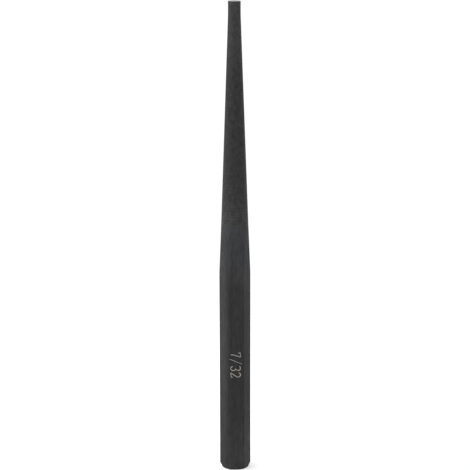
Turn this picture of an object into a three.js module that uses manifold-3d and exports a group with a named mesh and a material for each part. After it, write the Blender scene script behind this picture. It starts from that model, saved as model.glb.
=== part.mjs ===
// Line-up punch: one bar of hexagonal tool steel with a long round taper, used to draw bolt holes into line.
// Millimetres, +Z up. The punch stands on its struck face, with the origin at the middle of that face and
// its tip pointing up. One of the six flats faces -Y.

import * as THREE from 'three';
import { mergeVertices } from 'three/addons/utils/BufferGeometryUtils.js';
import Module from 'manifold-3d';

const wasm = await Module();
wasm.setup();

// Driving dimensions

const OVERALL_LENGTH = 212.7;
const ACROSS_FLATS = 12.2;
const CORNER_FILLET = 0.45;

const TIP_DIAMETER = 5.556;
const TIP_LENGTH = 6;
const TIP_EDGE_BREAK = 0.12;

const TAPER_LENGTH = 92.8;
const TAPER_INSET = 0.04;
const RUN_OUT_LENGTH = 23;

const STRUCK_CHAMFER_LENGTH = 2.05;
const STRUCK_CHAMFER_DEPTH = 1.1;

// How finely the round surfaces are faceted, and how far one solid reaches past another that trims it

const TURNING_SEGMENTS = 144;
const FILLET_SEGMENTS = 6;
const TRIM_MARGIN = 1;

// Sizes that follow from the driving dimensions

const FLATS = 6;
const HALF_FLAT_ANGLE = Math.PI / FLATS;
const FLAT_RADIUS = ACROSS_FLATS / 2;
const SHARP_CORNER_RADIUS = FLAT_RADIUS / Math.cos(HALF_FLAT_ANGLE);
const FILLET_CENTRE_RADIUS = (FLAT_RADIUS - CORNER_FILLET) / Math.cos(HALF_FLAT_ANGLE);
const CORNER_RADIUS = FILLET_CENTRE_RADIUS + CORNER_FILLET;
const CLEAR_RADIUS = SHARP_CORNER_RADIUS + TRIM_MARGIN;

const TIP_RADIUS = TIP_DIAMETER / 2;
const TIP_ROOT_HEIGHT = OVERALL_LENGTH - TIP_LENGTH;
const TAPER_FOOT_HEIGHT = TIP_ROOT_HEIGHT - TAPER_LENGTH;
const TAPER_FOOT_RADIUS = FLAT_RADIUS - TAPER_INSET;

const STEEL = new THREE.MeshStandardMaterial({ color: 0x2a2a2c, roughness: 0.42, metalness: 0.85 });

// A closed geometry as a solid that can be trimmed: shared vertices merged, slivers at the axis dropped.
function solidFrom(geometry) {
  geometry.deleteAttribute('normal');
  geometry.deleteAttribute('uv');
  const merged = mergeVertices(geometry);
  const corners = merged.index.array;
  const triangles = [];
  for (let first = 0; first < corners.length; first += 3) {
    const [a, b, c] = corners.slice(first, first + 3);
    if (a !== b && b !== c && c !== a) triangles.push(a, b, c);
  }
  const mesh = new wasm.Mesh({
    numProp: 3,
    vertProperties: new Float32Array(merged.attributes.position.array),
    triVerts: new Uint32Array(triangles),
  });
  return new wasm.Manifold(mesh);
}

function geometryFrom(solid) {
  const mesh = solid.getMesh();
  const geometry = new THREE.BufferGeometry();
  geometry.setAttribute('position', new THREE.BufferAttribute(mesh.vertProperties, mesh.numProp));
  geometry.setIndex(new THREE.BufferAttribute(mesh.triVerts, 1));
  geometry.computeVertexNormals();
  return geometry;
}

// The hexagon's outline: six corners rounded by arcs, with the first flat square to -Y.
function hexagonOutline() {
  const outline = new THREE.Shape();
  for (let corner = 0; corner < FLATS; corner += 1) {
    const direction = (2 * corner + 1) * HALF_FLAT_ANGLE - Math.PI / 2;
    const centreX = FILLET_CENTRE_RADIUS * Math.cos(direction);
    const centreY = FILLET_CENTRE_RADIUS * Math.sin(direction);
    const start = direction - HALF_FLAT_ANGLE;
    const end = direction + HALF_FLAT_ANGLE;
    outline.absarc(centreX, centreY, CORNER_FILLET, start, end, false);
  }
  outline.closePath();
  return outline;
}

// The stock: a hexagonal bar, longer than the punch at both ends.
function hexagonBar() {
  const geometry = new THREE.ExtrudeGeometry(hexagonOutline(), {
    depth: OVERALL_LENGTH + 2 * TRIM_MARGIN,
    bevelEnabled: false,
    curveSegments: FILLET_SEGMENTS,
  });
  geometry.translate(0, 0, -TRIM_MARGIN);
  return solidFrom(geometry);
}

// The height above a cone's narrow end at which a straight flank reaches a radius.
function flankHeight(radius, narrowRadius, wideRadius, length) {
  return length * (radius - narrowRadius) / (wideRadius - narrowRadius);
}

// What the lathe and the grinder leave: struck face, chamfer, room for the shank, run-out, taper and tip.
function turnedEnvelope() {
  const struckFaceRadius = CORNER_RADIUS - STRUCK_CHAMFER_DEPTH;
  const chamferTop = flankHeight(CLEAR_RADIUS, struckFaceRadius, CORNER_RADIUS, STRUCK_CHAMFER_LENGTH);
  const runOutDrop = flankHeight(CLEAR_RADIUS, TAPER_FOOT_RADIUS, CORNER_RADIUS, RUN_OUT_LENGTH);
  const profile = [
    new THREE.Vector2(0, 0),
    new THREE.Vector2(struckFaceRadius, 0),
    new THREE.Vector2(CLEAR_RADIUS, chamferTop),
    new THREE.Vector2(CLEAR_RADIUS, TAPER_FOOT_HEIGHT - runOutDrop),
    new THREE.Vector2(TAPER_FOOT_RADIUS, TAPER_FOOT_HEIGHT),
    new THREE.Vector2(TIP_RADIUS, TIP_ROOT_HEIGHT),
    new THREE.Vector2(TIP_RADIUS, OVERALL_LENGTH - TIP_EDGE_BREAK),
    new THREE.Vector2(TIP_RADIUS - TIP_EDGE_BREAK, OVERALL_LENGTH),
    new THREE.Vector2(0, OVERALL_LENGTH),
  ];
  // Half a segment of turn sets a facet of every ring square to each flat.
  const geometry = new THREE.LatheGeometry(profile, TURNING_SEGMENTS, Math.PI / TURNING_SEGMENTS);
  geometry.rotateX(Math.PI / 2);
  return solidFrom(geometry);
}

// The punch: the hexagonal bar trimmed to the turned envelope, which leaves the six scalloped run-outs.
function punchBody() {
  const solid = hexagonBar().intersect(turnedEnvelope());
  const mesh = new THREE.Mesh(geometryFrom(solid), STEEL);
  mesh.name = 'punch_body';
  return mesh;
}

const punch = new THREE.Group();
punch.name = 'line_up_punch';
punch.add(punchBody());

export default punch;
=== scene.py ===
import math
from dataclasses import dataclass

import bmesh
import bpy
from mathutils import Matrix, Quaternion, Vector


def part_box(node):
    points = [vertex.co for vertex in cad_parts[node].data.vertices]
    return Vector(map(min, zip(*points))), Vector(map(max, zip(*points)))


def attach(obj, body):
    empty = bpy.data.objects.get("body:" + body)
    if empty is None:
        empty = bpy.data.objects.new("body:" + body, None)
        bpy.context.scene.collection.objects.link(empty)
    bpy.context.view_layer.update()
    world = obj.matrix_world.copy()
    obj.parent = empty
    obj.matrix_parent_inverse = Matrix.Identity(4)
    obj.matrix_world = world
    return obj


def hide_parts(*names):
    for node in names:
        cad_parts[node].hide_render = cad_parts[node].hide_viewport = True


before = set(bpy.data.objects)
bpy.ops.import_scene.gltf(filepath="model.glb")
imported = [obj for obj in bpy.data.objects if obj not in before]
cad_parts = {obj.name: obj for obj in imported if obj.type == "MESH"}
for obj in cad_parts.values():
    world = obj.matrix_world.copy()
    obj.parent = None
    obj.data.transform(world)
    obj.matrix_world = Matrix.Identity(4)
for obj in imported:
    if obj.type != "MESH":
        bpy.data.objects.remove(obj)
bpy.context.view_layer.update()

bl_info = {
    "name": "Line-up punch",
    "version": (1, 0, 0),
    "blender": (4, 5, 0),
    "location": "View3D > Sidebar > Punch",
    "description": "Builds a hexagonal line-up punch in black oxide steel, and a plain studio round it",
    "category": "Object",
}

# What the frame and the record call the bar

BODY = "root"
NODE = "punch_body"
PIECE = "punch_steel"
BAR_LOW, BAR_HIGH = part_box(NODE)

MM_PER_METRE = 1000.0

# Counts, angles and small sizes that shape the meshes

FLATS = 6
FLAT_ANGLE = 2 * math.pi / FLATS
HALF_FLAT_ANGLE = FLAT_ANGLE / 2
FILLET_STEPS = 6
TURNING_STEPS = 288
BLEND_STEPS = 6
TAPER_RINGS = 24
STROKE_SIDES = 4
ARC_STEPS = 14
SLASH_WEIGHT = 0.66
FLOOR_SIDES = 96
FLOOR_GAP = 0.00005
TRIM_MARGIN = 0.001
MERGE_DISTANCE = 1e-8
SLIVER_WIDTH = 1e-6
SHARP_ANGLE = math.radians(22)

# The UV map that the finishes can be baked through: the gap between its strips,
# how much the size mark is enlarged on it, and how far above and below the mark its own patch reaches

BAKE_MAP = "OFBake"
STRIP_GAP = 0.0003
MARK_ENLARGED = 3.0
MARK_FRAME = 0.0014

# Finishes, in the order of the piece's material slots

DRAWN, GROUND, BLENDED, FACED, ENGRAVED = range(5)

# How the oxide's colour runs along the bar: share of the length from the struck face, then red, green and
# blue as shares of the full tone; it is bluer along the run-out

TONE_ALONG = (
    (0.0, (0.69, 0.69, 0.69)),
    (0.14, (0.59, 0.59, 0.59)),
    (0.31, (0.67, 0.67, 0.67)),
    (0.39, (0.69, 0.69, 0.69)),
    (0.43, (0.82, 0.826, 0.845)),
    (0.455, (0.84, 0.856, 0.92)),
    (0.53, (0.90, 0.915, 0.98)),
    (0.54, (0.95, 0.95, 0.95)),
    (0.61, (0.78, 0.78, 0.78)),
    (0.70, (0.74, 0.74, 0.74)),
    (0.82, (0.75, 0.75, 0.75)),
    (0.93, (0.96, 0.96, 0.96)),
    (1.0, (1.0, 1.0, 1.0)),
)

# The oxide's clouds: how many to a millimetre, a turn that takes their grid off the bar's own axes, and how
# much smoother the steel is where they are lightest

CLOUDS_PER_MM = 0.45
CLOUD_TURN = (0.6, 0.4, 0.5)
CLOUD_SHINE = 0.22

# The slow drift of the oxide's hue: how many changes to a millimetre, then noise values with the red, green
# and blue gains of a warm and of a cool place

HUES_PER_MM = 0.09
HUE_DRIFT = ((0.35, (1.1, 0.99, 0.86)), (0.65, (0.76, 0.76, 0.83)))

# A band of painted shade on the flat left of the marked one, beside their shared corner, standing in for a
# dark reflection on that flat, with a slight painted lift on the corner itself: distance in millimetres from
# that corner along the flat, and what is left there of the tone

PAINTED_SHADE_ACROSS = ((-0.6, 1.0), (-0.05, 1.1), (0.15, 0.63), (0.9, 0.66), (1.7, 0.76), (2.5, 0.88), (3.3, 1.0))

# Tool marks: how much finer the fine ones are than the coarse, and their share of the two together

FINE_MARKS = 6.0
FINE_SHARE = 0.35

# The grinder's rings: heights in millimetres between which they fade towards the tip, and what is left there

RINGS_FULL, RINGS_FADED = 124.0, 146.0
RINGS_LEFT = 0.35

# The wave texture's scale at which one unit of its vector holds one wave

WAVE_SCALE = 2 * math.pi / 20

# A Mix node's sockets for colours, which share their names with its sockets for numbers

COLOUR_A, COLOUR_B, COLOUR_RESULT = 6, 7, 2

WHITE = (1.0, 1.0, 1.0, 1.0)

# The soft boxes: a tall broad one far to the left, and a small one with a grid over the table beside the bar

LEFT_BOX_PLACE, LEFT_BOX_SIZE, LEFT_BOX_SPREAD = (-2.0, -0.17, 0.75), (3.6, 1.6), math.pi
TABLE_BOX_PLACE, TABLE_BOX_SIZE, TABLE_BOX_SPREAD = (-0.20, 0.09, 0.25), (0.36, 0.30), math.radians(70)


# Settings


def length_setting(name, description, default):
    return bpy.props.FloatProperty(
        name=name, description=description, default=default, min=0.0, precision=5, unit="LENGTH"
    )


def angle_setting(name, description, degrees):
    return bpy.props.FloatProperty(
        name=name, description=description, default=math.radians(degrees), subtype="ANGLE"
    )


def colour_setting(name, description, default):
    return bpy.props.FloatVectorProperty(
        name=name, description=description, default=default, min=0.0, max=1.0, size=3, subtype="COLOR"
    )


def share_setting(name, description, default):
    return bpy.props.FloatProperty(
        name=name, description=description, default=default, min=0.0, max=1.0, subtype="FACTOR"
    )


def power_setting(name, description, watts):
    return bpy.props.FloatProperty(name=name, description=description, default=watts, min=0.0, unit="POWER")


class PunchSizes(bpy.types.PropertyGroup):
    """Sizes of the steel bar, from the struck face up to the tip."""

    length: length_setting("Length", "From the struck face to the tip face", BAR_HIGH.z)
    across_flats: length_setting("Across flats", "Width of the hexagon", BAR_HIGH.y - BAR_LOW.y)
    corner_fillet: length_setting("Corner fillet", "Radius of the hexagon's corners", 0.00045)
    tip_diameter: length_setting("Tip diameter", "Diameter of the parallel tip", 0.005556)
    tip_length: length_setting("Tip length", "Length of the parallel tip", 0.006)
    tip_edge: length_setting("Tip edge", "How far the tip's edge is broken", 0.00012)
    taper_length: length_setting("Taper length", "From the tip's root to the run-out", 0.0928)
    taper_inset: length_setting("Taper inset", "How far the taper's foot lies inside the flats", 0.00004)
    run_out_length: length_setting("Run-out", "Length over which the corners fade out", 0.023)
    chamfer_length: length_setting("Chamfer length", "Height of the struck end's chamfer", 0.00205)
    chamfer_depth: length_setting("Chamfer depth", "Depth of that chamfer at the corners", 0.0011)
    edge_blend: length_setting("Edge blend", "How far the struck face's edge is eased", 0.0002)
    root_blend: length_setting("Root blend", "Half the length of the blend at the tip's root", 0.0012)


class MarkSizes(bpy.types.PropertyGroup):
    """Sizes of the size numerals cut into the front flat."""

    numeral_height: length_setting("Numeral height", "Height of a numeral, between stroke centres", 0.00438)
    numeral_width: length_setting("Numeral width", "Width of a numeral, between stroke centres", 0.00205)
    spacing: length_setting("Spacing", "From one numeral's start to the next", 0.00307)
    stroke: length_setting("Stroke", "Width of the cut at the surface", 0.00039)
    depth: length_setting("Depth", "Depth of the cut", 0.00012)
    centre_height: length_setting("Centre height", "Middle of the mark above the struck face", 0.0498)
    offset: bpy.props.FloatProperty(
        name="Offset", description="Middle of the mark along X", default=-0.00032, unit="LENGTH"
    )


class FinishSettings(bpy.types.PropertyGroup):
    """Colours and roughness of the steel."""

    oxide: colour_setting("Oxide", "Black oxide where it is thinnest, at the tip", (0.0525, 0.0525, 0.0525))
    bare_steel: colour_setting("Bare steel", "Steel at the bottom of the cut numerals", (0.60, 0.57, 0.54))
    drawn_roughness: share_setting("Drawn roughness", "Roughness of the drawn flats and run-outs", 0.50)
    ground_roughness: share_setting("Ground roughness", "Roughness of the ground taper", 0.55)
    faced_roughness: share_setting("Faced roughness", "Roughness of the two end faces", 0.26)
    engraved_roughness: share_setting("Engraved roughness", "Roughness of the cut numerals", 0.50)


class StudioSettings(bpy.types.PropertyGroup):
    """Camera, lamps and floor."""

    azimuth: angle_setting("Azimuth", "Camera's turn about the bar, from square to the front flat", -5.15)
    elevation: angle_setting("Elevation", "Camera's height above the middle of the bar", 13.2)
    distance: length_setting("Distance", "Camera to the middle of the bar", 0.865)
    lens: bpy.props.FloatProperty(
        name="Lens", description="Focal length in millimetres", default=148.5, unit="CAMERA"
    )
    aim_rise: length_setting("Aim rise", "How far above the middle the camera aims", 0.00209)
    aim_side: length_setting("Aim side", "How far right of the bar the camera aims", 0.00009)
    roll: angle_setting("Roll", "Camera's roll", -0.12)
    floor_radius: length_setting("Floor radius", "Radius of the floor disc", 2.5)
    floor: colour_setting("Floor", "Colour of the floor", (0.86, 0.86, 0.86))
    floor_lift: share_setting("Floor lift", "How far the floor is lifted to white where it is seen", 0.4)
    room: bpy.props.FloatProperty(
        name="Room", description="Strength of the soft light from all round", default=0.7, min=0.0
    )
    left_box: power_setting("Left box", "Power of the broad soft box at the left", 12.0)
    table_box: power_setting("Table box", "Power of the small soft box over the table", 0.5)


# Small helpers for meshes


def mesh_object(name, mesh, materials=()):
    """A scene object that shows a mesh, with these materials added to those that it has."""
    for material in materials:
        mesh.materials.append(material)
    made = bpy.data.objects.new(name, mesh)
    bpy.context.scene.collection.objects.link(made)
    return made


def finished_mesh(name, shape):
    """A mesh made from a bmesh, which is freed."""
    mesh = bpy.data.meshes.new(name)
    shape.to_mesh(mesh)
    shape.free()
    return mesh


def combined_mesh(base, tool, operation):
    """The mesh of base trimmed to or cut by tool; both objects are removed."""
    modifier = base.modifiers.new(operation.lower(), "BOOLEAN")
    modifier.object = tool
    modifier.operation = operation
    modifier.solver = "EXACT"
    modifier.use_self = True
    modifier.material_mode = "INDEX"
    depsgraph = bpy.context.evaluated_depsgraph_get()
    mesh = bpy.data.meshes.new_from_object(base.evaluated_get(depsgraph))
    if not mesh.polygons:
        raise RuntimeError(f"Nothing is left of {base.name} after {operation} with {tool.name}")
    for used in (base, tool):
        bpy.data.objects.remove(used)
    return mesh


def eased(points, blends):
    """A polyline with the corners that blends names cut off by smooth arcs: {corner index: cut length}."""
    line = []
    for index, corner in enumerate(points):
        cut = blends.get(index)
        if not cut:
            line.append(corner)
            continue
        before = corner + (points[index - 1] - corner).normalized() * cut
        after = corner + (points[index + 1] - corner).normalized() * cut
        for step in range(BLEND_STEPS + 1):
            share = step / BLEND_STEPS
            line.append(before.lerp(corner, share).lerp(corner.lerp(after, share), share))
    return line


# The bar


def corner_radii(sizes):
    """Distance from the axis to a sharp and to a rounded corner of the hexagon."""
    flat_radius = sizes.across_flats / 2
    sharp = flat_radius / math.cos(HALF_FLAT_ANGLE)
    rounded = (flat_radius - sizes.corner_fillet) / math.cos(HALF_FLAT_ANGLE) + sizes.corner_fillet
    return sharp, rounded


def taper_foot_height(sizes):
    """Height of the knee between the taper and the run-out."""
    return sizes.length - sizes.tip_length - sizes.taper_length


def hexagon_bar(sizes):
    """The drawn stock: a hexagonal bar with a flat square to -Y, longer than the punch at both ends."""
    sharp_radius, _ = corner_radii(sizes)
    bar = bmesh.new()
    place = Matrix.Translation((0, 0, sizes.length / 2)) @ Matrix.Rotation(HALF_FLAT_ANGLE, 4, "Z")
    bmesh.ops.create_cone(
        bar,
        cap_ends=True,
        segments=FLATS,
        radius1=sharp_radius,
        radius2=sharp_radius,
        depth=sizes.length + 2 * TRIM_MARGIN,
        matrix=place,
    )
    corners = [edge for edge in bar.edges if edge.calc_length() > sizes.length]
    bmesh.ops.bevel(
        bar,
        geom=corners,
        offset=sizes.corner_fillet * math.tan(HALF_FLAT_ANGLE),
        offset_type="OFFSET",
        affect="EDGES",
        segments=FILLET_STEPS,
        profile=0.5,
        material=-1,
    )
    for face in bar.faces:
        face.material_index = DRAWN
    return finished_mesh("hexagon_bar", bar)


def turned_profile(sizes):
    """Radius and height along the turned envelope, from the struck face's middle to the tip face's."""
    sharp_radius, corner_radius = corner_radii(sizes)
    clear_radius = sharp_radius + TRIM_MARGIN
    struck_radius = corner_radius - sizes.chamfer_depth
    chamfer_top = sizes.chamfer_length * (clear_radius - struck_radius) / sizes.chamfer_depth
    tip_radius = sizes.tip_diameter / 2
    foot_radius = sizes.across_flats / 2 - sizes.taper_inset
    run_out_drop = sizes.run_out_length * (clear_radius - foot_radius) / (corner_radius - foot_radius)
    foot = Vector((foot_radius, taper_foot_height(sizes)))
    root = Vector((tip_radius, sizes.length - sizes.tip_length))
    taper = [foot.lerp(root, ring / TAPER_RINGS) for ring in range(1, TAPER_RINGS)]
    points = [
        Vector((0, 0)),
        Vector((struck_radius, 0)),
        Vector((clear_radius, chamfer_top)),
        Vector((clear_radius, foot.y - run_out_drop)),
        foot,
        *taper,
        root,
        Vector((tip_radius, sizes.length)),
        Vector((0, sizes.length)),
    ]
    struck_edge, root_corner, tip_corner = 1, len(points) - 3, len(points) - 2
    return eased(
        points,
        {struck_edge: sizes.edge_blend, root_corner: sizes.root_blend, tip_corner: sizes.tip_edge},
    )


def turned_finish(face, sizes):
    """Which finish a face of the turned envelope has; only the run-out lies in the shank's upper half."""
    if abs(face.normal.z) > math.cos(SHARP_ANGLE):
        return FACED
    foot = taper_foot_height(sizes)
    on_run_out = foot / 2 < face.calc_center_median().z < foot
    return BLENDED if on_run_out else GROUND


def turned_envelope(sizes):
    """What the lathe and the grinder leave: chamfer, room for the shank, run-out, taper and tip."""
    lathe = bmesh.new()
    half_step = Matrix.Rotation(math.pi / TURNING_STEPS, 4, "Z")
    profile = [lathe.verts.new(half_step @ Vector((point.x, 0, point.y))) for point in turned_profile(sizes)]
    edges = [lathe.edges.new(pair) for pair in zip(profile, profile[1:])]
    bmesh.ops.spin(
        lathe,
        geom=profile + edges,
        axis=(0, 0, 1),
        cent=(0, 0, 0),
        dvec=(0, 0, 0),
        angle=2 * math.pi,
        steps=TURNING_STEPS,
        use_merge=True,
    )
    bmesh.ops.remove_doubles(lathe, verts=lathe.verts, dist=MERGE_DISTANCE)
    bmesh.ops.recalc_face_normals(lathe, faces=lathe.faces)
    for face in lathe.faces:
        face.material_index = turned_finish(face, sizes)
    return finished_mesh("turned_envelope", lathe)


# The size mark


def arc(centre, radii, start, end):
    """Points along an ellipse, in a numeral's own unit box, from one angle in degrees to another."""
    points = []
    for step in range(ARC_STEPS + 1):
        angle = math.radians(start + (end - start) * step / ARC_STEPS)
        points.append((centre[0] + radii[0] * math.cos(angle), centre[1] + radii[1] * math.sin(angle)))
    return points


def numeral_strokes():
    """Each sign of the mark, in reading order: its weight, and its strokes on a unit box."""
    seven = [
        [(0.02, 0.78), (0.0, 1.0), (0.97, 1.0)],
        [(0.97, 1.0), (0.54, 0.46), (0.41, 0.24), (0.37, 0.0)],
    ]
    slash = [[(-0.19, -0.14), (1.09, 1.18)]]
    three = [arc((0.5, 0.76), (0.5, 0.24), 150, -90)[:-1] + arc((0.5, 0.26), (0.5, 0.26), 90, -168)]
    two = [
        arc((0.5, 0.74), (0.5, 0.26), 160, -30) + [(0.0, 0.0)],
        [(0.0, 0.0), (1.0, 0.05), (1.03, 0.2)],
    ]
    return [(1.0, seven), (SLASH_WEIGHT, slash), (1.0, three), (1.0, two)]


def mark_length(mark):
    """How far the mark reaches along the bar."""
    return (len(numeral_strokes()) - 1) * mark.spacing + mark.numeral_width


def mark_cutter(mark, sizes):
    """Round rods along the numerals' strokes, laid in the front flat to cut to the mark's depth."""
    radius = (mark.stroke**2 / 4 + mark.depth**2) / (2 * mark.depth)
    curve = bpy.data.curves.new("mark_strokes", "CURVE")
    curve.dimensions = "3D"
    curve.bevel_depth = radius
    curve.bevel_resolution = STROKE_SIDES
    curve.use_fill_caps = True
    for index, (weight, strokes) in enumerate(numeral_strokes()):
        start = index * mark.spacing - mark_length(mark) / 2
        for stroke in strokes:
            spline = curve.splines.new("POLY")
            spline.points.add(len(stroke) - 1)
            for point, (across, up) in zip(spline.points, stroke):
                along = start + across * mark.numeral_width
                point.co = (along, (up - 0.5) * mark.numeral_height, 0, 1)
                point.radius = weight
    rods = bpy.data.objects.new("mark_strokes", curve)
    bpy.context.scene.collection.objects.link(rods)
    depsgraph = bpy.context.evaluated_depsgraph_get()
    mesh = bpy.data.meshes.new_from_object(rods.evaluated_get(depsgraph))
    bpy.data.objects.remove(rods)
    # A swept curve brings a UV map along its length, which nothing here uses.
    while mesh.uv_layers:
        mesh.uv_layers.remove(mesh.uv_layers[0])
    # Reading runs down the bar, with the numerals' heads towards +X.
    lie = Matrix(((0, 1, 0), (0, 0, -1), (-1, 0, 0))).to_4x4()
    surface = -sizes.across_flats / 2 - (radius - mark.depth)
    mesh.transform(Matrix.Translation((mark.offset, surface, mark.centre_height)) @ lie)
    for polygon in mesh.polygons:
        polygon.material_index = ENGRAVED
    return mesh


# The finished surface


def shade_edges(shape):
    """Smooth shading, but for crisp edges wherever the drawn finish ends or the surface turns sharply."""
    for face in shape.faces:
        face.smooth = True
    for edge in shape.edges:
        finishes = {face.material_index for face in edge.link_faces}
        crisp = DRAWN in finishes and len(finishes) > 1
        edge.smooth = not (crisp or edge.calc_face_angle(0.0) > SHARP_ANGLE)


def side_of(face):
    """Which of the six sides a face is on, counted from the front flat."""
    middle = face.calc_center_median()
    return round(math.atan2(middle.x, -middle.y) / FLAT_ANGLE) % FLATS


def frame_mark(shape, mark):
    """Cuts the front side across below and above the size mark; gives the heights of the two cuts."""
    half_length = mark_length(mark) / 2 + MARK_FRAME
    heights = (mark.centre_height - half_length, mark.centre_height + half_length)
    for height in heights:
        front = [face for face in shape.faces if face.material_index == DRAWN and side_of(face) == 0]
        edges = {edge for face in front for edge in face.edges}
        verts = {vert for face in front for vert in face.verts}
        bmesh.ops.bisect_plane(
            shape, geom=[*verts, *edges, *front], plane_co=(0, 0, height), plane_no=(0, 0, 1)
        )
    return heights


def map_surface(shape, sizes, framed):
    """Lays the surface out for baking, each face seen square on: a strip for each drawn side, then one for
    each turned side, and a last column for the enlarged size mark and the two end faces."""
    layer = shape.loops.layers.uv.new(BAKE_MAP)
    _, side_width = corner_radii(sizes)
    pitch = side_width + STRIP_GAP
    run_out_foot = taper_foot_height(sizes) - sizes.run_out_length
    width = 2 * FLATS * pitch + MARK_ENLARGED * side_width
    height = sizes.length - run_out_foot
    last_column = width - MARK_ENLARGED * side_width / 2
    frame_foot, frame_head = framed
    enlarge = Matrix.Scale(MARK_ENLARGED, 4) @ Matrix.Translation((0, 0, -frame_foot))
    for face in shape.faces:
        side = side_of(face)
        level = face.calc_center_median().z
        turn = Matrix.Rotation(-side * FLAT_ANGLE, 4, "Z")
        if face.material_index == FACED:
            rise = height - side_width if face.normal.z < 0 else height - 3 * side_width
            lie_flat = Matrix.Rotation(math.copysign(math.pi / 2, face.normal.z), 4, "X")
            chart = Matrix.Translation((last_column, 0, rise)) @ lie_flat
        elif side == 0 and frame_foot < level < frame_head:
            chart = Matrix.Translation((last_column, 0, 0)) @ enlarge
        elif face.material_index == DRAWN or level < run_out_foot:
            chart = Matrix.Translation(((side + 0.5) * pitch, 0, 0)) @ turn
        else:
            chart = Matrix.Translation(((FLATS + side + 0.5) * pitch, 0, -run_out_foot)) @ turn
        for loop in face.loops:
            spot = chart @ loop.vert.co
            loop[layer].uv = (spot.x / width, spot.z / height)


def finish_surface(mesh, sizes, mark):
    """Closes up the slivers where the cuts meet, shades the edges and lays out the bake map."""
    shape = bmesh.new()
    shape.from_mesh(mesh)
    bmesh.ops.dissolve_degenerate(shape, dist=SLIVER_WIDTH, edges=shape.edges)
    framed = frame_mark(shape, mark)
    shade_edges(shape)
    map_surface(shape, sizes, framed)
    shape.to_mesh(mesh)
    shape.free()


# Small helpers for nodes


def plug(tree, node, values):
    """Sets a node's inputs, by name or number, to plain values, or links them to other nodes' outputs."""
    for key, value in values.items():
        if isinstance(value, bpy.types.NodeSocket):
            tree.links.new(value, node.inputs[key])
        else:
            node.inputs[key].default_value = value


def add_node(tree, kind, values=None, **options):
    """A new node with its options set and its inputs plugged."""
    node = tree.nodes.new(kind)
    for option, value in options.items():
        setattr(node, option, value)
    plug(tree, node, values or {})
    return node


def calculated(tree, operation, *values, **options):
    """What a Math node makes of numbers or sockets."""
    node = add_node(tree, "ShaderNodeMath", dict(enumerate(values)), operation=operation, **options)
    return node.outputs["Value"]


def mixed(tree, share, first, second):
    """A value between two others."""
    node = add_node(tree, "ShaderNodeMix", {"Factor": share, "A": first, "B": second}, data_type="FLOAT")
    return node.outputs["Result"]


def scaled_colour(tree, colour, gain):
    """A colour times a number."""
    node = add_node(tree, "ShaderNodeVectorMath", {"Vector": colour, "Scale": gain}, operation="SCALE")
    return node.outputs["Vector"]


def height_of(tree, position):
    """How far up the bar a position is."""
    return add_node(tree, "ShaderNodeSeparateXYZ", {"Vector": position}).outputs["Z"]


def colour_ramp(tree, value, stops):
    """A colour that eases from stop to stop as a value grows; a stop is a place from 0 to 1 and a colour."""
    node = add_node(tree, "ShaderNodeValToRGB", {"Fac": value})
    node.color_ramp.interpolation = "EASE"
    elements = node.color_ramp.elements
    for number, (place, colour) in enumerate(stops):
        element = elements[number] if number < len(elements) else elements.new(place)
        element.position, element.color = place, (*colour, 1.0)
    return node.outputs["Color"]


def new_group(name, inputs, outputs):
    """An empty shader node group with named sockets, and its input and output nodes."""
    tree = bpy.data.node_groups.new(name, "ShaderNodeTree")
    for socket, kind in inputs.items():
        tree.interface.new_socket(socket, in_out="INPUT", socket_type=kind)
    for socket, kind in outputs.items():
        tree.interface.new_socket(socket, in_out="OUTPUT", socket_type=kind)
    return tree, tree.nodes.new("NodeGroupInput"), tree.nodes.new("NodeGroupOutput")


# Finishes


@dataclass(frozen=True)
class Finish:
    """How one kind of surface on the bar looks. Its tool marks are counted per millimetre along X, Y and Z,
    and its grain says how much finer than usual its clouds are along them."""

    name: str
    tone: tuple
    roughness: float
    marks: tuple
    mark_shade: float
    mark_depth: float
    grain: tuple = (1.0, 1.0, 1.0)
    feed: float = 0.0
    clouding: float = 0.8
    drift: float = 0.05
    edge_tint: float = 0.8
    concentric: bool = False
    fading: bool = False
    # Whether the finish carries the band of painted shade beside one corner
    shade_painted: bool = False


def oxide_group():
    """Black oxide's uneven tone: a run of colour along the bar, clouds that also shine, a drift of hue."""
    tree, given, result = new_group(
        "oxide_tone",
        {
            "Vector": "NodeSocketVector",
            "Grain": "NodeSocketVector",
            "Tone": "NodeSocketColor",
            "Clouding": "NodeSocketFloat",
            "Drift": "NodeSocketFloat",
        },
        {"Color": "NodeSocketColor", "Roughness Shift": "NodeSocketFloat"},
    )
    position = given.outputs["Vector"]
    share = calculated(tree, "DIVIDE", height_of(tree, position), BAR_HIGH.z * MM_PER_METRE)
    along = colour_ramp(tree, share, TONE_ALONG)
    tone = add_node(tree, "ShaderNodeVectorMath", {0: given.outputs["Tone"], 1: along}, operation="MULTIPLY")
    turned = add_node(
        tree,
        "ShaderNodeMapping",
        {"Vector": position, "Rotation": CLOUD_TURN, "Scale": given.outputs["Grain"]},
    )
    clouds = add_node(
        tree,
        "ShaderNodeTexNoise",
        {"Vector": turned.outputs["Vector"], "Scale": CLOUDS_PER_MM, "Detail": 4.0, "Roughness": 0.75},
    )
    centred = calculated(tree, "SUBTRACT", clouds.outputs["Fac"], 0.5)
    cloud = calculated(tree, "MULTIPLY", centred, given.outputs["Clouding"])
    clouded = scaled_colour(tree, tone.outputs["Vector"], calculated(tree, "ADD", cloud, 1.0))
    hues = add_node(tree, "ShaderNodeTexNoise", {"Vector": position, "Scale": HUES_PER_MM, "Detail": 1.0})
    hue = colour_ramp(tree, hues.outputs["Fac"], HUE_DRIFT)
    drifted = add_node(
        tree,
        "ShaderNodeMix",
        {"Factor": given.outputs["Drift"], COLOUR_A: clouded, COLOUR_B: hue},
        data_type="RGBA",
        blend_type="MULTIPLY",
    )
    shift = calculated(tree, "MULTIPLY", cloud, -CLOUD_SHINE)
    plug(tree, result, {"Color": drifted.outputs[COLOUR_RESULT], "Roughness Shift": shift})
    return tree


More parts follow.
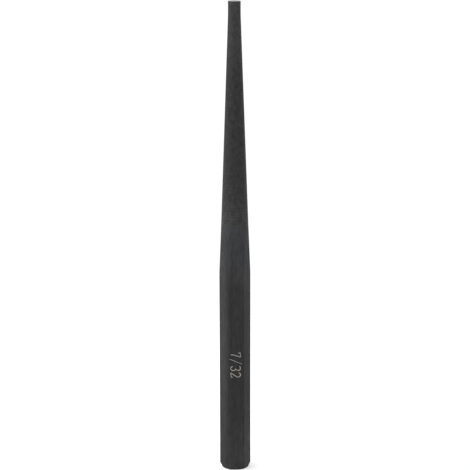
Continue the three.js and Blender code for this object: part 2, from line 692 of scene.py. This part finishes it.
def marks_group():
    """Tool marks across a stretched vector, partly a regular feed: a height, and a shade about zero."""
    tree, given, result = new_group(
        "tool_marks",
        {"Vector": "NodeSocketVector", "Feed": "NodeSocketFloat"},
        {"Height": "NodeSocketFloat", "Shade": "NodeSocketFloat"},
    )
    position = given.outputs["Vector"]
    coarse = add_node(
        tree, "ShaderNodeTexNoise", {"Vector": position, "Scale": 1.0, "Detail": 2.0, "Roughness": 0.6}
    )
    fine = add_node(
        tree,
        "ShaderNodeTexNoise",
        {"Vector": position, "Scale": FINE_MARKS, "Detail": 3.0, "Roughness": 0.7},
    )
    feed = add_node(
        tree,
        "ShaderNodeTexWave",
        {"Vector": position, "Scale": WAVE_SCALE, "Distortion": 2.0, "Detail": 1.0, "Detail Scale": 1.0},
        bands_direction="Z",
    )
    loose = mixed(tree, FINE_SHARE, coarse.outputs["Fac"], fine.outputs["Fac"])
    height = mixed(tree, given.outputs["Feed"], loose, feed.outputs["Fac"])
    plug(tree, result, {"Height": height, "Shade": calculated(tree, "SUBTRACT", height, 0.5)})
    return tree


def painted_shade_band(tree, position):
    """A gain on the tone of the drawn flats that paints shade along one long band beside a corner, where a
    dark reflection would lie, with a slight painted lift on the corner itself.
    """
    corner_radius = BAR_HIGH.y * MM_PER_METRE / math.cos(HALF_FLAT_ANGLE)
    sine, cosine = math.sin(HALF_FLAT_ANGLE), math.cos(HALF_FLAT_ANGLE)
    from_corner = add_node(
        tree,
        "ShaderNodeVectorMath",
        {0: position, 1: (corner_radius * sine, corner_radius * cosine, 0.0)},
        operation="ADD",
    )
    across = add_node(
        tree,
        "ShaderNodeVectorMath",
        {0: from_corner.outputs["Vector"], 1: (-sine, cosine, 0.0)},
        operation="DOT_PRODUCT",
    )
    (first, _), (last, _) = PAINTED_SHADE_ACROSS[0], PAINTED_SHADE_ACROSS[-1]
    share = add_node(
        tree,
        "ShaderNodeMapRange",
        {"Value": across.outputs["Value"], "From Min": first, "From Max": last},
    )
    stops = [((place - first) / (last - first), (gain,) * 3) for place, gain in PAINTED_SHADE_ACROSS]
    return colour_ramp(tree, share.outputs["Result"], stops)


def fading_rings(tree, position, shade):
    """The strength of the grinder's rings, which fades towards the tip."""
    strength = add_node(
        tree,
        "ShaderNodeMapRange",
        {
            "Value": height_of(tree, position),
            "From Min": RINGS_FULL,
            "From Max": RINGS_FADED,
            "To Min": shade,
            "To Max": shade * RINGS_LEFT,
        },
        interpolation_type="SMOOTHSTEP",
    )
    return strength.outputs["Result"]


def finish_material(finish, groups):
    """Steel in one finish: clouded oxide, shaded, roughened and dented by its tool marks."""
    material = bpy.data.materials.new(finish.name)
    material.use_nodes = True
    tree = material.node_tree
    place = add_node(tree, "ShaderNodeTexCoord").outputs["Object"]
    millimetres = (MM_PER_METRE,) * 3
    position = add_node(tree, "ShaderNodeMapping", {"Vector": place, "Scale": millimetres}).outputs[0]
    stretched = add_node(tree, "ShaderNodeMapping", {"Vector": position, "Scale": finish.marks}).outputs[0]
    if finish.concentric:
        radius = add_node(tree, "ShaderNodeVectorMath", {0: stretched}, operation="LENGTH")
        stretched = radius.outputs["Value"]
    oxide = add_node(
        tree,
        "ShaderNodeGroup",
        {
            "Vector": position,
            "Grain": finish.grain,
            "Tone": (*finish.tone, 1.0),
            "Clouding": finish.clouding,
            "Drift": finish.drift,
        },
        node_tree=groups["oxide"],
    )
    marks = add_node(
        tree, "ShaderNodeGroup", {"Vector": stretched, "Feed": finish.feed}, node_tree=groups["marks"]
    )
    strength = fading_rings(tree, position, finish.mark_shade) if finish.fading else finish.mark_shade
    gain = calculated(tree, "MULTIPLY_ADD", marks.outputs["Shade"], strength, 1.0)
    # The drawn flats get a band of painted shade beside one corner, standing in for a dark reflection
    if finish.shade_painted:
        gain = calculated(tree, "MULTIPLY", gain, painted_shade_band(tree, position))
    bump = add_node(
        tree,
        "ShaderNodeBump",
        {"Height": marks.outputs["Height"], "Strength": 1.0, "Distance": finish.mark_depth},
    )
    plug(
        tree,
        tree.nodes["Principled BSDF"],
        {
            "Base Color": scaled_colour(tree, oxide.outputs["Color"], gain),
            "Metallic": 1.0,
            "Roughness": calculated(
                tree, "ADD", oxide.outputs["Roughness Shift"], finish.roughness, use_clamp=True
            ),
            "Specular Tint": (finish.edge_tint,) * 3 + (1.0,),
            "Normal": bump.outputs["Normal"],
        },
    )
    return material


def steel_materials(chosen):
    """The bar's finishes, in slot order."""
    groups = {"oxide": oxide_group(), "marks": marks_group()}
    finishes = [
        Finish(
            "drawn_oxide",
            tone=chosen.oxide,
            roughness=chosen.drawn_roughness,
            marks=(3.0, 3.0, 0.04),
            mark_shade=0.9,
            mark_depth=2e-6,
            grain=(2.0, 2.0, 0.5),
            clouding=1.0,
            edge_tint=0.74,
            shade_painted=True,
        ),
        Finish(
            "ground_oxide",
            tone=chosen.oxide,
            roughness=chosen.ground_roughness,
            marks=(0.12, 0.12, 0.74),
            mark_shade=0.32,
            mark_depth=4e-6,
            grain=(1.4, 1.4, 1.0),
            feed=0.35,
            clouding=1.2,
            edge_tint=0.88,
            fading=True,
        ),
        Finish(
            "run_out_oxide",
            tone=chosen.oxide,
            roughness=chosen.drawn_roughness,
            marks=(0.5, 0.5, 0.5),
            mark_shade=0.25,
            mark_depth=2e-6,
            grain=(1.6, 1.6, 0.35),
        ),
        Finish(
            "faced_oxide",
            tone=chosen.oxide,
            roughness=chosen.faced_roughness,
            marks=(2.4, 2.4, 0.0),
            mark_shade=0.6,
            mark_depth=4e-6,
            concentric=True,
        ),
        Finish(
            "engraved_steel",
            tone=chosen.bare_steel,
            roughness=chosen.engraved_roughness,
            marks=(4.0, 4.0, 4.0),
            mark_shade=0.4,
            mark_depth=4e-6,
            drift=0.8,
            edge_tint=1.0,
        ),
    ]
    return [finish_material(finish, groups) for finish in finishes]


class PUNCH_OT_make_bar(bpy.types.Operator):
    """Build the steel bar with its taper, run-outs, chamfer and cut size numerals"""

    bl_idname = "punch.make_bar"
    bl_label = "Make the bar"

    def execute(self, context):
        sizes = context.scene.punch_sizes
        mark = context.scene.punch_mark
        materials = steel_materials(context.scene.punch_finish)
        stock = mesh_object("stock", hexagon_bar(sizes), materials)
        envelope = mesh_object("envelope", turned_envelope(sizes), materials)
        blank = mesh_object("blank", combined_mesh(stock, envelope, "INTERSECT"))
        cutter = mesh_object("cutter", mark_cutter(mark, sizes), materials)
        mesh = combined_mesh(blank, cutter, "DIFFERENCE")
        mesh.name = PIECE
        finish_surface(mesh, sizes, mark)
        piece = mesh_object(PIECE, mesh)
        normals = piece.modifiers.new("even_normals", "WEIGHTED_NORMAL")
        normals.keep_sharp = True
        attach(piece, BODY)
        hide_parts(NODE)
        return {"FINISHED"}


# The studio


def seen_by_shine(tree):
    """A value of 1 for rays from the camera, from gloss and through glass, and 0 for light that bounces."""
    path = add_node(tree, "ShaderNodeLightPath").outputs
    shine = calculated(tree, "MAXIMUM", path["Is Camera Ray"], path["Is Glossy Ray"])
    return calculated(tree, "MAXIMUM", shine, path["Is Transmission Ray"])


def light_room(studio):
    """A soft even room: plain light for bounces, white where the camera or a reflection looks at it."""
    world = bpy.data.worlds.new("studio_room")
    world.use_nodes = True
    tree = world.node_tree
    room = tree.nodes["Background"]
    plug(tree, room, {"Color": WHITE, "Strength": studio.room})
    white = add_node(tree, "ShaderNodeBackground", {"Color": WHITE, "Strength": 1.0})
    choice = add_node(
        tree, "ShaderNodeMixShader", {0: seen_by_shine(tree), 1: room.outputs[0], 2: white.outputs[0]}
    )
    plug(tree, tree.nodes["World Output"], {"Surface": choice.outputs[0]})
    bpy.context.scene.world = world


def floor_material(studio):
    """A floor that keeps the bar's shadow, lifted to white where the camera or a reflection sees it."""
    material = bpy.data.materials.new("studio_floor")
    material.use_nodes = True
    tree = material.node_tree
    tree.nodes.remove(tree.nodes["Principled BSDF"])
    paper = add_node(tree, "ShaderNodeBsdfDiffuse", {"Color": (*studio.floor, 1.0)})
    strength = calculated(tree, "MULTIPLY", seen_by_shine(tree), studio.floor_lift)
    lift = add_node(tree, "ShaderNodeEmission", {"Color": WHITE, "Strength": strength})
    both = add_node(tree, "ShaderNodeAddShader", {0: paper.outputs[0], 1: lift.outputs[0]})
    plug(tree, tree.nodes["Material Output"], {"Surface": both.outputs[0]})
    return material


def lay_floor(studio):
    """A broad disc just under the struck face."""
    disc = bmesh.new()
    bmesh.ops.create_circle(disc, cap_ends=True, segments=FLOOR_SIDES, radius=studio.floor_radius)
    bmesh.ops.translate(disc, verts=disc.verts, vec=(0, 0, -FLOOR_GAP))
    floor = mesh_object("floor", finished_mesh("floor", disc), [floor_material(studio)])


def hang_lamp(name, place, target, size, spread, power):
    """A rectangular soft box that faces a target, with a grid that holds its light to a spread."""
    lamp = bpy.data.lights.new(name, "AREA")
    lamp.shape = "RECTANGLE"
    lamp.size, lamp.size_y = size
    lamp.spread = spread
    lamp.energy = power
    holder = bpy.data.objects.new(name, lamp)
    holder.location = place
    holder.rotation_euler = (target - Vector(place)).to_track_quat("-Z", "Y").to_euler()
    bpy.context.scene.collection.objects.link(holder)


def set_camera(studio, middle):
    """The camera at the photograph's viewing angle."""
    camera = bpy.data.cameras.new("camera")
    camera.lens = studio.lens
    holder = bpy.data.objects.new("camera", camera)
    level = math.cos(studio.elevation)
    back = Vector(
        (
            math.sin(studio.azimuth) * level,
            -math.cos(studio.azimuth) * level,
            math.sin(studio.elevation),
        )
    )
    right = Vector((math.cos(studio.azimuth), math.sin(studio.azimuth), 0))
    aim = middle + Vector((0, 0, studio.aim_rise)) + right * studio.aim_side
    holder.location = middle + back * studio.distance + right * studio.aim_side
    look = (aim - holder.location).to_track_quat("-Z", "Y")
    holder.rotation_mode = "QUATERNION"
    holder.rotation_quaternion = look @ Quaternion((0, 0, 1), studio.roll)
    bpy.context.scene.collection.objects.link(holder)
    bpy.context.scene.camera = holder


class PUNCH_OT_set_stage(bpy.types.Operator):
    """Lay the floor, light the room and set the camera"""

    bl_idname = "punch.set_stage"
    bl_label = "Set the stage"

    def execute(self, context):
        studio = context.scene.punch_studio
        middle = Vector((0, 0, context.scene.punch_sizes.length / 2))
        below = Vector((*TABLE_BOX_PLACE[:2], 0))
        context.scene.view_settings.view_transform = "Standard"
        light_room(studio)
        lay_floor(studio)
        hang_lamp("left_box", LEFT_BOX_PLACE, middle, LEFT_BOX_SIZE, LEFT_BOX_SPREAD, studio.left_box)
        hang_lamp("table_box", TABLE_BOX_PLACE, below, TABLE_BOX_SIZE, TABLE_BOX_SPREAD, studio.table_box)
        set_camera(studio, middle)
        return {"FINISHED"}


# The add-on


SETTINGS = {
    "punch_sizes": PunchSizes,
    "punch_mark": MarkSizes,
    "punch_finish": FinishSettings,
    "punch_studio": StudioSettings,
}


class PUNCH_PT_panel(bpy.types.Panel):
    """Lists the punch's settings and the steps that build it"""

    bl_idname = "PUNCH_PT_panel"
    bl_label = "Line-up punch"
    bl_space_type = "VIEW_3D"
    bl_region_type = "UI"
    bl_category = "Punch"

    def draw(self, context):
        for name, group in SETTINGS.items():
            box = self.layout.box()
            for setting in group.__annotations__:
                box.prop(getattr(context.scene, name), setting)
        self.layout.operator(PUNCH_OT_make_bar.bl_idname)
        self.layout.operator(PUNCH_OT_set_stage.bl_idname)


CLASSES = (*SETTINGS.values(), PUNCH_OT_make_bar, PUNCH_OT_set_stage, PUNCH_PT_panel)


def register():
    """Register the classes, and give every scene the punch's settings."""
    for each in CLASSES:
        bpy.utils.register_class(each)
    for name, group in SETTINGS.items():
        setattr(bpy.types.Scene, name, bpy.props.PointerProperty(type=group))


def unregister():
    """Take the settings and the classes away again."""
    for name in SETTINGS:
        delattr(bpy.types.Scene, name)
    for each in reversed(CLASSES):
        bpy.utils.unregister_class(each)


def main():
    """Build the punch and its studio."""
    register()
    bpy.ops.punch.make_bar()
    bpy.ops.punch.set_stage()


if __name__ == "__main__":
    main()
